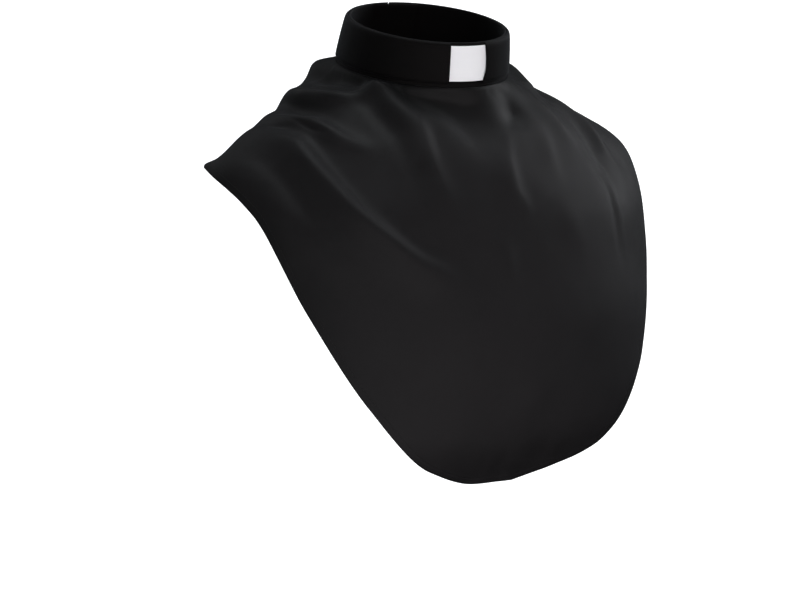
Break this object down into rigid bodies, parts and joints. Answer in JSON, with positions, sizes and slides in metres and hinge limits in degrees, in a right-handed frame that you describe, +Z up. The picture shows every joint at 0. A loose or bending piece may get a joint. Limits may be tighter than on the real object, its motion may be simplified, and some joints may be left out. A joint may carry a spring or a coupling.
{
  "type": "clerical collar shirtfront",
  "caption": "Black clerical tab collar with a white front insert and a sewn-on cloth cape that drapes over chest, shoulders and upper back.",
  "frame": {"origin": "the middle of the seam ring where the neckband meets the cape, on the neck's axis", "axes": "+Z up along the wearer, -Y to the wearer's front, +X to the wearer's left"},
  "size_m": [0.3489, 0.2544, 0.3348],
  "materials": {
    "cape_cloth": "matte-satin plain weave",
    "collar_cloth": "matte plain weave over interfacing",
    "tab_white": "smooth satin",
    "fastener_black": "hook-and-loop pile"
  },
  "bodies": {
    "root": {"cape": "cape_cloth", "neckband": "collar_cloth", "collar_leaf_right": "collar_cloth", "collar_leaf_left": "collar_cloth", "tab_insert": "tab_white", "back_fastener": "fastener_black"}
  },
  "joints": []
}
